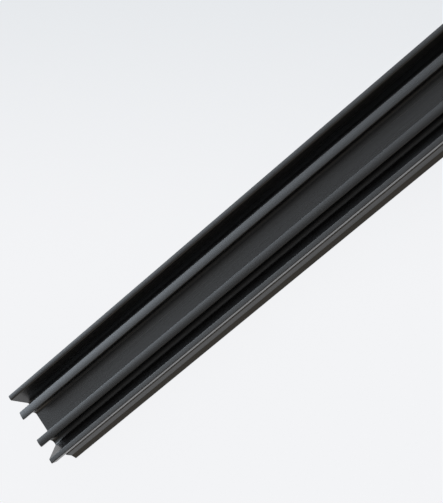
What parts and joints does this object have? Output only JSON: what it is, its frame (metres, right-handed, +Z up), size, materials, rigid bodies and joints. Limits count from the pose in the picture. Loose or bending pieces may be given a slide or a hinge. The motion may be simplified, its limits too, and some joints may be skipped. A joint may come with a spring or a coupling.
{
  "type": "pvc profile",
  "caption": "Straight black plastic extrusion: an open trough with T-headed ribs, outward-leaning side wings and splayed feet below, for slide-in strips and panels.",
  "frame": {"origin": "on the floor, under the middle of the stock", "axes": "+X along the stock, +Y across the section, +Z up, out of the open trough"},
  "size_m": [1, 0.0374, 0.014],
  "materials": {
    "black_pvc": "satin extruded, with fine lines along its length"
  },
  "bodies": {
    "root": {"pvc_profile": "black_pvc"}
  },
  "joints": []
}
